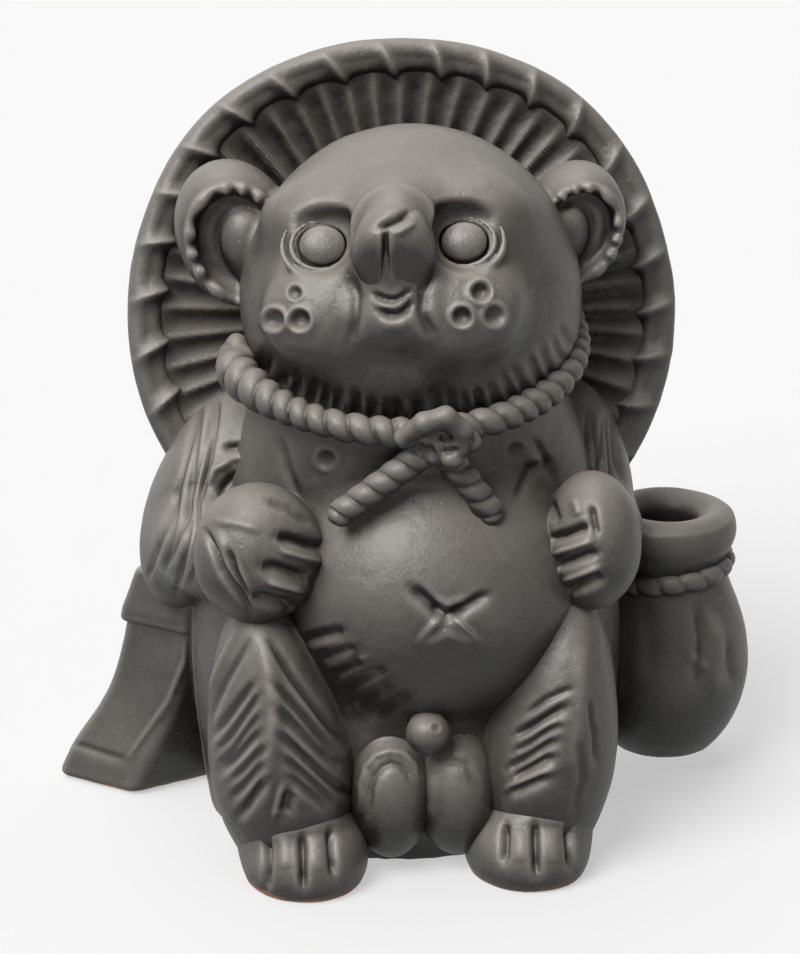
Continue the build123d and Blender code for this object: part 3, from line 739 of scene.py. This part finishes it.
# Ears
# Round flaps of clay luted to the sides of the head, hollowed with a thumb, with a beaded rim and a
# bulge in the hollow.
ear_sizes = {-1: (13.5, 17.0, 17.0), 1: (11.5, 17.0, 14.0)}
for word, side in (("left", -1), ("right", 1)):
    ear_at = head_middle + np.array([side * 38.5, 12.0, 13.2])
    wide, deep, tall = ear_sizes[side]
    lean = (0, side * 18.0, 0)

    def ear_form(p):
        flap = egg(p, ear_at, (wide, deep, tall), lean)
        hollow = egg(p, ear_at + (side * 0.5, -14.5, 0.3), (wide * 0.95, 9.5, tall * 0.95), lean)
        flap = carve(flap, hollow, 1.2)
        bulge = egg(p, ear_at + (-side * 3.4, -5.4, -1.5), (wide * 0.52, 5.6, tall * 0.56), lean)
        return lute(join(flap, bulge, 1.0), head(p), 1.8)

    def ear_tooling(points, facing):
        q = turned(points.T, ear_at, lean)
        reach = np.hypot(q[0] / wide, q[2] / tall)
        angle = np.arctan2(q[2] / tall, side * q[0] / wide)
        beads = 1 + 0.5 * np.sin(angle * 13 + 2 * np.sin(angle * 3))
        marks = 1.1 * beads * np.exp(-((reach - 0.78) / 0.08) ** 2)
        marks -= 0.8 * np.exp(-((reach - 0.91) / 0.04) ** 2)
        marks -= 1.4 * np.exp(-((reach - 0.58) / 0.10) ** 2) * np.clip(np.cos(angle - 0.9) + 0.4, 0, 1)
        return marks * np.clip(-2 * facing[:, 1] - 0.3, 0, 1)

    ear = sculpt(f"{word}_ear_flap", ear_at - (18, 20, 21), ear_at + (18, 20, 21), 0.4, ear_form, ear_tooling)
    settle(ear, head_glaze, "head_glaze", f"{word}_ear")

# Straw hat
# A shallow dish behind the head, pressed with radial ribs like split straw, and a thick rim roll
# bound with a cord. Both are clay, luted to the head, the back and the arms.
hat_at, hat_turn, hat_reach, rim_radius = head_middle + (0.8, 23.0, -11.25), (75.0, 0, 0), 59.3, 4.4
rib_count, rib_high, wrap_count, wrap_high, wrap_slant = 53, 0.6, 31, 0.95, 0.4
rim_low, rim_square = 2.5, 2.6


def hat_lines(p):
    """Distance from the hat's middle, angle round it and height over its plane."""
    q = turned(p, hat_at, hat_turn)
    return np.sqrt(q[0] ** 2 + q[1] ** 2), np.arctan2(q[1], q[0]), q[2]


def hat_edge(angle):
    """The hand-shaped hat is a little fuller at its two upper corners."""
    return hat_reach + 1.5 * np.exp(-((angle - 0.85) / 0.4) ** 2) + 1.5 * np.exp(-((angle - 2.3) / 0.4) ** 2)


def flutes(turn, sharp):
    """Shallow flutes with a ridge between each two, from -1 in the flute to 1 on the ridge."""
    return 2 * np.abs(2 * (turn - np.floor(turn)) - 1) ** sharp - 1


def dish_form(p):
    reach, angle, high = hat_lines(p)
    share = reach / hat_reach
    within = np.maximum(high - 12.0 * (share - 1), 18.0 * share - 23.0 - high)
    dish = np.maximum(within * 0.95, reach - hat_edge(angle))
    return np.maximum(dish, -np.minimum(head(p), body(p)) - 3.0)


def dish_tooling(points, facing):
    reach, angle, _ = hat_lines(points.T)
    turn = angle * rib_count / (2 * math.pi) + 0.1 * np.sin(angle * 7)
    from_middle = np.clip((reach - 14) / 12, 0, 1)
    from_rim = np.clip((hat_reach - reach - 1.5) / 6, 0.2, 1)
    return rib_high * flutes(turn, 2.0) * from_middle * from_rim


def rim_form(p):
    reach, angle, high = hat_lines(p)
    away, over = np.abs(reach - hat_edge(angle)), np.abs(high + rim_low)
    return (away ** rim_square + over ** rim_square) ** (1 / rim_square) - rim_radius


def rim_tooling(points, facing):
    reach, angle, high = hat_lines(points.T)
    away = reach - hat_edge(angle)
    inward = np.clip(1 - np.cos(np.arctan2(high + rim_low, away)), 0, 1)
    turn = (angle - wrap_slant * away / hat_reach) * wrap_count / (2 * math.pi) + 0.06 * np.sin(angle * 5)
    return wrap_high * flutes(turn, 3.2) * inward


hat_glaze = clay_finish("hat_glaze", glaze_dark, pale_glaze_and_painted_light, 0.47, 0.55)
dish = sculpt("straw_dish", hat_at - (62, 22, 62), hat_at + (62, 30, 64), 0.6, dish_form, dish_tooling)
rim = sculpt("straw_rim", hat_at - (68, 24, 66), hat_at + (68, 26, 68), 0.5, rim_form, rim_tooling)
settle(dish, hat_glaze, "hat_glaze", "hat_dish")
settle(rim, hat_glaze, "hat_glaze", "hat_rim")

# Chin rope
# Two coils of twisted clay from the cheeks to the chest, a knot where they meet and two tails under
# it, all luted to the head and the chest.
def placed(across, down, y):
    """The point at a depth y of the figure that falls on one pixel of the picture."""
    ray = (across - picture_wide / 2) * view_right - (down - picture_high / 2) * view_up
    ray = ray - pixels_at_unit * view_back
    return view_eye + ray * (y - view_eye[1]) / ray[1]


rope_at, rope_turn, rope_reach, rope_radius = head_middle + (-2.5, 1.5, -9.0), (14.0, 0, 0), 40.0, 3.2
knot_at = np.array([1.5, -46.8, 106.3])
rope_end = math.radians(100.0)
strand_pitch, strand_high = 4.7, 0.95
tuft_lumps = [
    (placed(243, 365, -15.0), (3.6, 4.4, 4.4)), (placed(237, 352, -11.0), (3.2, 4.2, 4.4)),
    (placed(229, 364, -12.0), (2.4, 4.0, 4.0)),
]


def rope_lines(p):
    q = turned(p, rope_at, rope_turn)
    return np.sqrt(q[0] ** 2 + q[1] ** 2), np.arctan2(q[0], -q[1]), q[2]


def rope_form(p, side):
    reach, angle, high = rope_lines(p)
    swollen = np.exp(-((angle + 1.15) / 0.26) ** 2)
    drawn = np.clip((-angle - 1.30) / 0.25, 0, 1)
    coil = np.sqrt((reach - rope_reach) ** 2 + high ** 2) - rope_radius - 1.3 * swollen + 3.4 * drawn
    ends = np.maximum(np.abs(angle) - rope_end, -side * (p[0] - knot_at[0]) / rope_reach) * rope_reach
    coil = carve(coil, -ends, 2.5)
    if side < 0:
        for middle, sizes in tuft_lumps:
            coil = join(coil, egg(p, middle, sizes), 1.0)
    return coil


def rope_tooling(points, facing):
    reach, angle, high = rope_lines(points.T)
    around = np.arctan2(high, reach - rope_reach)
    twist = angle * rope_reach * 2 * math.pi / strand_pitch + around * 1.2 + 0.8 * np.sin(angle * 9)
    near_coil = np.clip(7.0 - 4 * np.hypot(reach - rope_reach, high) / rope_radius, 0, 1)
    off_tuft = np.clip(12 + 9 * angle, 0, 1)
    return strand_high * (np.abs(np.sin(twist / 2)) ** 0.7 - 0.7) * (near_coil * off_tuft)


rope_glaze = clay_finish("rope_glaze", glaze_dark, pale_glaze_and_painted_light, 0.46, 0.55)
for word, side in (("left", -1), ("right", 1)):
    coil = sculpt(
        f"{word}_rope_coil", rope_at - (47, 46, 16), rope_at + (47, 16, 16), 0.35,
        lambda p: rope_form(p, side), rope_tooling,
    )
    settle(coil, rope_glaze, "rope_glaze", f"chin_rope_{word}")


loop_path = [(404, 438, -49.5), (424, 423, -51.5), (446, 417, -51.5), (461, 430, -50.5), (459, 447, -49.5)]
loop_points = [placed(*spot) for spot in loop_path]
loop_radius = 2.3


def rod(p, start, end, radius, end_radius):
    """Depth of a round rod between two points, with its own radius at each end."""
    start, run = np.array(start, float), np.subtract(end, start).astype(float)
    q = [a - c for a, c in zip(p, start)]
    along = np.clip(sum(a * b for a, b in zip(q, run)) / (run @ run), 0, 1)
    away = np.sqrt(sum((a - along * b) ** 2 for a, b in zip(q, run)))
    return away - radius - (end_radius - radius) * along


def knot_form(p):
    lump = egg(p, knot_at + (0, 1.0, -0.8), (6.4, 4.6, 5.6))
    for start, end in zip(loop_points, loop_points[1:]):
        lump = join(lump, rod(p, start, end, loop_radius, loop_radius), 0.8)
    lump = join(lump, egg(p, placed(452, 458, -49.5), (2.8, 2.6, 2.4)), 0.8)
    return join(lump, egg(p, placed(470, 441, -47.5), (2.4, 2.6, 2.6)), 0.8)


knot_marks = [
    ([(412, 446), (424, 456), (436, 450)], 8, -2.2), ([(440, 436), (450, 442)], 4, -1.0),
    ([(444, 452), (458, 450)], 3, -0.7), ([(425, 470), (440, 472)], 4, -0.6),
]
knot = sculpt(
    "knot_lump", knot_at - 12, knot_at + 12, 0.35, knot_form,
    lambda points, facing: press(points, facing, knot_marks),
)
settle(knot, rope_glaze, "rope_glaze", "rope_knot")
tail_ends = {-1: (-19.2, -43.4, 88.9), 1: (13.8, -43.2, 88.1)}
tail_radius, tail_tip_radius, tail_pitch, tail_high = 3.3, 3.0, 4.6, 0.7
for word, side in (("left", -1), ("right", 1)):
    start, end = knot_at + (side * 2.0, 2.5, -3.5), np.array(tail_ends[side])
    run = (end - start) / np.linalg.norm(end - start)

    def tail_form(p):
        return lute(rod(p, start, end, tail_radius, tail_tip_radius), body(p), 1.0)

    def tail_tooling(points, facing):
        along = (points - start) @ run
        around = np.arctan2(facing[:, 2] * run[0] - facing[:, 0] * run[2], -facing[:, 1])
        twist = along * 2 * math.pi / tail_pitch - side * around * 1.4
        strands = np.abs(np.sin(twist / 2)) ** 0.6 - 0.75
        return tail_high * strands * np.clip(facing @ view_back * 4 + 0.5, 0, 1)

    tail = sculpt(
        f"{word}_cord_end", np.minimum(start, end) - 6, np.maximum(start, end) + 6, 0.3,
        tail_form, tail_tooling,
    )
    settle(tail, rope_glaze, "rope_glaze", f"rope_tail_{word}")

# Ledger
# A slab of clay for a book of accounts hanging at the left hip, flaring to its foot, with a paper
# band in relief round its head. It is luted to the flank and stands on bare clay.
ledger_tall, ledger_turn, ledger_half_deep = 60.0, math.radians(-37.0), 9.0
band_foot, band_head, band_proud = 42.0, 57.0, 1.2


def ledger_lines(p):
    """Across and through the slab, and its half width at each height."""
    x, y, z = p
    share = np.clip(z / ledger_tall, -0.1, 1.1)
    flare = 3.0 * np.exp(-((z - 8.0) / 11.0) ** 2)
    bend = 2.6 * np.sin(math.pi * np.clip(z / 46.0, 0, 1))
    across = x + 50.0 + (17.0 - 19.0 * share) + flare * 0.6 - bend
    through = y - (22.0 - 7.7 * share)
    turn, rise = math.cos(ledger_turn), math.sin(ledger_turn)
    half = 10.5 - 2.5 * share + flare * 0.35
    return turn * across + rise * through, -rise * across + turn * through, half


def slab_between(p, foot_at, head_at, proud, soft):
    """Depth of the length of the slab between two heights, grown by proud, its edges rounded."""
    u, v, half = ledger_lines(p)
    flank_side = 0.887 * (u - half) - 0.461 * (v + ledger_half_deep) - proud
    back_side = 0.975 * (v - ledger_half_deep) - 0.22 * (u + half) - proud
    slab = carve(-ledger_half_deep - v - proud, half + u + proud, soft)
    slab = carve(carve(slab, -flank_side, soft), -back_side, soft)
    return carve(slab, -np.maximum(foot_at - p[2], p[2] - head_at), soft)


def flank(p):
    """Depth of the body and the left arm, which carry the ledger."""
    return np.minimum(body(p), arm(p, -1))


ledger_marks = [
    ([(186, 640), (184, 662), (168, 702), (128, 758)], 3, 0.5),
    ([(70, 742), (100, 752), (126, 760)], 4, -0.4),
]
ledger_glaze = clay_finish("ledger_glaze", glaze_dark, pale_glaze_and_painted_light, 0.46, 0.55, 0.0012)
block = sculpt(
    "ledger_pages", (-84, 2, -1.5), (-36, 44, 63), 0.45,
    lambda p: np.maximum(lute(slab_between(p, 0.0, ledger_tall, 0.0, 2.6), flank(p), 1.5), -p[2]),
    lambda points, facing: press(points, facing, ledger_marks),
)
band = sculpt(
    "ledger_wrapper", (-78, 0, 38), (-36, 40, 62), 0.4,
    lambda p: lute(slab_between(p, band_foot, band_head, band_proud, 2.0), flank(p), 1.0),
    lambda points, facing: press(points, facing, [([(168, 596), (172, 580)], 3, 0.4)]),
)
settle(block, ledger_glaze, "ledger_glaze", "ledger_block")
settle(band, ledger_glaze, "ledger_glaze", "ledger_band")

# Sake flask
# A hollow flask with a rolled lip, thrown by itself and luted to the right hip, with a twisted cord
# of clay round its neck.
flask_low, flask_high = (np.array(corner) * 1000 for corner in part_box("flask"))
flask_x = flask_high[0] - (flask_high[1] - flask_low[1]) / 2
flask_y = (flask_low[1] + flask_high[1]) / 2
flask_waist, flask_foot, bore_radius = 28.0, 6.0, 7.1
lower_sizes, upper_sizes, well_sizes = (20.0, 20.0, 27.0), (20.0, 20.0, 25.0), (15.1, 15.1, 17.5)


def flask_form(p):
    x, y, z = p
    reach = np.sqrt((x - flask_x) ** 2 + (y - flask_y) ** 2)
    middle = (flask_x, flask_y, flask_waist)
    belly = np.where(z < flask_waist, egg(p, middle, lower_sizes), egg(p, middle, upper_sizes))
    neck = np.maximum(reach - 13.6, np.maximum(40.0 - z, z - 62.0))
    lip = np.sqrt((reach - 11.9) ** 2 + ((z - 60.6) * 0.85) ** 2) - 4.5
    outside = np.maximum(join(join(belly, neck, 7.0), lip, 4.0), flask_foot - z)
    bore = np.maximum(reach - bore_radius, flask_waist - z)
    inside = np.minimum(egg(p, middle, well_sizes), bore)
    return carve(outside, inside, 1.2)


flask_marks = [
    ([(698, 604), (704, 640), (698, 684)], 6, -1.2), ([(712, 612), (720, 650), (714, 694)], 6, 1.0),
    ([(728, 640), (733, 684)], 5, -0.8), ([(692, 654), (708, 670)], 5, 0.7),
    ([(640, 620), (636, 680)], 10, 0.5),
]
flask = sculpt(
    "sake_flask", (flask_x - 24, flask_y - 24, 4), (flask_x + 24, flask_y + 24, 68), 0.5, flask_form,
    lambda points, facing: press(points, facing, flask_marks),
)
flask_glaze = clay_finish("flask_glaze", glaze_dark, pale_glaze_and_painted_light, 0.45, 0.55)
settle(flask, flask_glaze, "flask_glaze", "flask")
cord_high, cord_radius, cord_reach, cord_pitch, cord_tilt = 51.0, 2.5, 13.8, 5.0, 0.12


def cord_lines(p):
    """Distance out from the cord's ring, angle round it and height over it."""
    x, y, z = p
    reach, angle = np.sqrt((x - flask_x) ** 2 + (y - flask_y) ** 2), np.arctan2(y - flask_y, x - flask_x)
    return reach - cord_reach, angle, z - cord_high - cord_tilt * (x - flask_x)


def cord_form(p):
    away, _, high = cord_lines(p)
    return np.sqrt(away ** 2 + high ** 2) - cord_radius


def cord_tooling(points, facing):
    away, angle, high = cord_lines(points.T)
    twist = angle * cord_reach * 2 * math.pi / cord_pitch + np.arctan2(high, away)
    return 0.6 * (np.abs(np.sin(twist / 2)) ** 0.6 - 0.75)


cord = sculpt(
    "neck_cord", (flask_x - 19, flask_y - 19, 44), (flask_x + 19, flask_y + 19, 58), 0.35,
    cord_form, cord_tooling,
)
settle(cord, rope_glaze, "rope_glaze", "flask_cord")

# Floor and light
# A plain pale floor that sweeps up behind and shows nearly white, a broad soft lamp high on the left, a
# softer one overhead and a dim even surround.
sweep = bpy.data.meshes.new("floor")
profile = [(-3.0, -0.0003), (1.6, -0.0003)]
for step in range(1, 9):
    bend = step * math.pi / 16
    profile.append((1.6 + 0.8 * math.sin(bend), 0.7997 - 0.8 * math.cos(bend)))
profile.append((2.4, 3.0))
corners = [(x, y, z) for y, z in profile for x in (-4.0, 4.0)]
sweep.from_pydata(corners, [], [(2 * i, 2 * i + 1, 2 * i + 3, 2 * i + 2) for i in range(len(profile) - 1)])
sweep.polygons.foreach_set("use_smooth", np.ones(len(sweep.polygons), bool))
floor = bpy.data.objects.new("floor", sweep)
bpy.context.scene.collection.objects.link(floor)
white_share = 0.5
paper = bpy.data.materials.new("pale_paper")
paper.use_nodes = True
matt = paper.node_tree.nodes["Principled BSDF"]
matt.inputs["Base Color"].default_value = (0.62, 0.62, 0.62, 1)
matt.inputs["Roughness"].default_value = 0.9
matt.inputs["Specular IOR Level"].default_value = 0.0
paper_signal = Signal(paper.node_tree)
camera_ray, glossy_ray, clear_ray = (
    paper_signal.node("ShaderNodeLightPath", output=f"Is {kind} Ray")
    for kind in ("Camera", "Glossy", "Transmission")
)
white = paper_signal.node("ShaderNodeEmission", None, {"Color": (1, 1, 1, 1), "Strength": 1.0})
shown = paper_signal.node("ShaderNodeMixShader", None, {
    0: (camera_ray + glossy_ray + clear_ray) * white_share,
    1: Signal(paper.node_tree, matt.outputs[0]),
    2: white,
})
paper.node_tree.links.new(shown.socket, paper.node_tree.nodes["Material Output"].inputs["Surface"])
floor.data.materials.append(paper)

for name, energy, angle, place in (
    ("front_lamp", 3.7, 38.0, (-0.58, -0.58, 0.90)), ("top_lamp", 1.2, 45.0, (-0.10, 0.15, 0.95)),
):
    lamp = bpy.data.lights.new(name, "SUN")
    lamp.energy = energy
    lamp.angle = math.radians(angle)
    lamp_stand = bpy.data.objects.new(name, lamp)
    lamp_stand.rotation_euler = Vector(place).to_track_quat("Z", "Y").to_euler()
    bpy.context.scene.collection.objects.link(lamp_stand)
world = bpy.data.worlds.new("surround")
bpy.context.scene.world = world
world.use_nodes = True
backdrop = world.node_tree.nodes["Background"]
backdrop.inputs["Color"].default_value = (1, 1, 1, 1)
backdrop.inputs["Strength"].default_value = 0.08
bpy.context.scene.view_settings.view_transform = "Standard"
